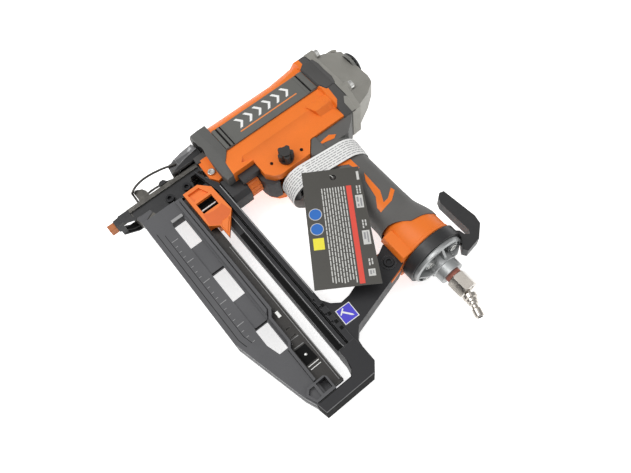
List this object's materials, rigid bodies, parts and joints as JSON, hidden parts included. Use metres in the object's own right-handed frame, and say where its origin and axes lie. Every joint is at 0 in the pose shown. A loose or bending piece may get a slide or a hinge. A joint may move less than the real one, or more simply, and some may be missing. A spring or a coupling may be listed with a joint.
{
  "type": "pneumatic finish nail gun",
  "caption": "Pneumatic finish nail gun with angled magazine, lift-off nose latch, safety yoke, belt hook and swivel air plug, lying on its side.",
  "frame": {"origin": "middle of the nail exit at the front end of the nose pad, on the drive axis", "axes": "+X along the drive axis from the nose to the cap, -Y from the barrel to the handle's end, +Z out of the tool's left side, which faces up"},
  "size_m": [0.2981, 0.3093, 0.064],
  "materials": {
    "housing_orange": "satin orange paint on die-cast alloy",
    "bumper_gray": "matt moulded rubber",
    "bumper_dark": "matt moulded rubber",
    "panel_gray": "fine grained plastic",
    "grip_rubber": "matt moulded rubber",
    "aluminium_bore": "honed",
    "seal_rubber": "smooth rubber",
    "piston_metal": "turned",
    "ring_plastic": "smooth",
    "steel_hard": "ground",
    "valve_plastic": "smooth",
    "steel_spring": "bright drawn wire",
    "cap_cast": "die cast, light gray coat",
    "screw_silver": "zinc plated",
    "deflector_black": "fine grained plastic",
    "screw_black": "black oxide",
    "steel_nose": "ground steel",
    "latch_gray": "gloss black",
    "steel_wire": "bright drawn wire",
    "pad_rubber": "translucent brown orange",
    "steel_black": "black oxide",
    "housing_black": "fine grained plastic",
    "wheel_orange": "smooth",
    "knob_black": "smooth",
    "trigger_black": "smooth",
    "hook_black": "fine grained plastic",
    "inlet_cast": "die cast",
    "steel_chrome": "bright",
    "sealant_red": "dried thread sealant",
    "magazine_gray": "anodised dark gray",
    "steel_dark": "brushed",
    "magazine_black": "fine grained plastic",
    "pusher_orange": "smooth",
    "paper_white": "smooth paper",
    "tag_card": "printed card"
  },
  "bodies": {
    "tool_body": {"main_housing": "housing_orange", "front_collar": "bumper_gray", "rear_collar": "bumper_dark", "side_panel_left": "panel_gray", "side_panel_right": "panel_gray", "handle_grip": "grip_rubber", "cylinder_sleeve": "aluminium_bore", "sleeve_seals": "seal_rubber", "bumper": "seal_rubber", "head_valve_spring": "steel_spring", "cap_gasket": "seal_rubber", "end_cap": "cap_cast", "cap_screws": "screw_silver", "exhaust_screw": "screw_black", "nosepiece": "steel_nose", "nose_screw": "screw_silver", "magazine_bolts": "screw_black", "door_pin": "steel_nose", "contact_spring": "steel_spring", "contact_guide": "housing_black", "trigger_housing": "housing_black", "trigger_valve_body": "valve_plastic", "valve_spring": "steel_spring", "inlet_gasket": "seal_rubber", "inlet_cap": "inlet_cast", "inlet_cap_screws": "screw_silver", "inlet_stem": "steel_chrome", "thread_sealant": "sealant_red", "magazine_plate_left": "magazine_gray", "magazine_plate_right": "magazine_gray", "magazine_spacer": "steel_nose", "nail_channel": "steel_dark", "magazine_frame": "magazine_black", "arm_screw": "screw_black", "paper_band": "paper_white"},
    "driver": {"piston": "piston_metal", "piston_ring": "ring_plastic", "driver_blade": "steel_hard"},
    "head_valve": {"head_valve": "valve_plastic"},
    "contact": {"no_mar_pad": "pad_rubber", "work_contact": "steel_black", "contact_stud": "steel_nose"},
    "depth_wheel": {"depth_wheel": "wheel_orange"},
    "mode_knob": {"mode_knob": "knob_black", "knob_clip": "steel_spring"},
    "trigger": {"trigger": "trigger_black", "trigger_lever_pin": "steel_nose"},
    "trigger_lever": {"trigger_lever": "steel_black"},
    "valve_stem": {"valve_stem": "steel_nose"},
    "latch_lever": {"latch_lever": "latch_gray"},
    "nose_door": {"nose_door": "steel_nose", "latch_pin": "steel_nose"},
    "latch_bail": {"latch_bail": "steel_wire"},
    "pusher": {"pusher": "pusher_orange"},
    "spring_roll": {"spring_roll": "steel_spring"},
    "belt_hook": {"belt_hook": "hook_black"},
    "exhaust_deflector": {"exhaust_deflector": "deflector_black"},
    "swivel_nut": {"swivel_nut": "steel_chrome"},
    "air_plug": {"air_plug": "steel_chrome"},
    "hang_tag": {"hang_tag": "tag_card"}
  },
  "joints": [
    {"name": "driver_stroke", "type": "slide", "parent": "tool_body", "child": "driver", "axis": [-1, 0, 0], "range_m": [0, 0.088]},
    {"name": "head_valve_lift", "type": "slide", "parent": "tool_body", "child": "head_valve", "axis": [1, 0, 0], "range_m": [0, 0.005], "stiffness_N_per_m": 400, "springref_m": -0.003, "deforming": ["head_valve_spring"]},
    {"name": "contact_travel", "type": "slide", "parent": "tool_body", "child": "contact", "axis": [1, 0, 0], "range_m": [0, 0.009], "stiffness_N_per_m": 400, "springref_m": -0.006, "deforming": ["contact_spring"]},
    {"name": "depth_wheel_turn", "type": "hinge", "parent": "tool_body", "child": "depth_wheel", "pos_m": [0.1305, -0.047, 0], "axis": [1, 0, 0], "continuous": true},
    {"name": "mode_select", "type": "hinge", "parent": "tool_body", "child": "mode_knob", "pos_m": [0.166, -0.06, 0], "axis": [0, 0, 1], "range_deg": [0, 180]},
    {"name": "trigger_pull", "type": "hinge", "parent": "tool_body", "child": "trigger", "pos_m": [0.166, -0.06, 0], "axis": [0, 0, 1], "range_deg": [0, 10], "stiffness_Nm_per_rad": 0.6, "springref_deg": -6.88},
    {"name": "trigger_lever_lift", "type": "hinge", "parent": "trigger", "child": "trigger_lever", "pos_m": [0.161, -0.08, 0], "axis": [0, 0, 1], "range_deg": [0, 8], "stiffness_Nm_per_rad": 0.03, "springref_deg": -5.73},
    {"name": "valve_stem_push", "type": "slide", "parent": "tool_body", "child": "valve_stem", "axis": [0, 1, 0], "range_m": [0, 0.0045], "deforming": ["valve_spring"]},
    {"name": "door_open", "type": "hinge", "parent": "tool_body", "child": "nose_door", "pos_m": [0.108, 0.003, 0], "axis": [0, 0, 1], "range_deg": [-32, 0]},
    {"name": "latch_flip", "type": "hinge", "parent": "nose_door", "child": "latch_lever", "pos_m": [0.08, 0.0073, 0], "axis": [0, 0, 1], "range_deg": [0, 95]},
    {"name": "latch_bail_turn", "type": "hinge", "parent": "latch_lever", "child": "latch_bail", "pos_m": [0.085, 0.012, 0], "axis": [0, 0, 1], "range_deg": [-120, 0]},
    {"name": "pusher_slide", "type": "slide", "parent": "tool_body", "child": "pusher", "axis": [0, -1, 0], "range_m": [0, 0.14], "stiffness_N_per_m": 4, "springref_m": -1},
    {"name": "spring_roll_turn", "type": "hinge", "parent": "pusher", "child": "spring_roll", "pos_m": [0.0839, -0.046, 0], "axis": [1, 0, 0], "continuous": true},
    {"name": "belt_hook_turn", "type": "hinge", "parent": "tool_body", "child": "belt_hook", "pos_m": [0.2085, -0.21, 0], "axis": [0, 1, 0], "range_deg": [-110, 110]},
    {"name": "exhaust_turn", "type": "hinge", "parent": "tool_body", "child": "exhaust_deflector", "pos_m": [0.291, -0.003, 0], "axis": [1, 0, 0], "continuous": true},
    {"name": "swivel_spin", "type": "hinge", "parent": "tool_body", "child": "swivel_nut", "pos_m": [0.2085, -0.248, 0], "axis": [0, 1, 0], "continuous": true},
    {"name": "plug_lean", "type": "hinge", "parent": "swivel_nut", "child": "air_plug", "pos_m": [0.2085, -0.251, 0], "axis": [0, 0, 1], "range_deg": [0, 38]},
    {"name": "tag_swing", "type": "hinge", "parent": "tool_body", "child": "hang_tag", "pos_m": [0.183, -0.1075, 0.0278], "axis": [0, 0, 1], "range_deg": [-20, 20]}
  ],
  "couplings": [
    {"joint": "valve_stem_push", "follows": "trigger_pull", "m_per_rad": 0.0225},
    {"joint": "door_open", "follows": "latch_flip", "ratio": -0.32},
    {"joint": "latch_bail_turn", "follows": "latch_flip", "ratio": -1.1},
    {"joint": "spring_roll_turn", "follows": "pusher_slide", "rad_per_m": 192.31}
  ]
}
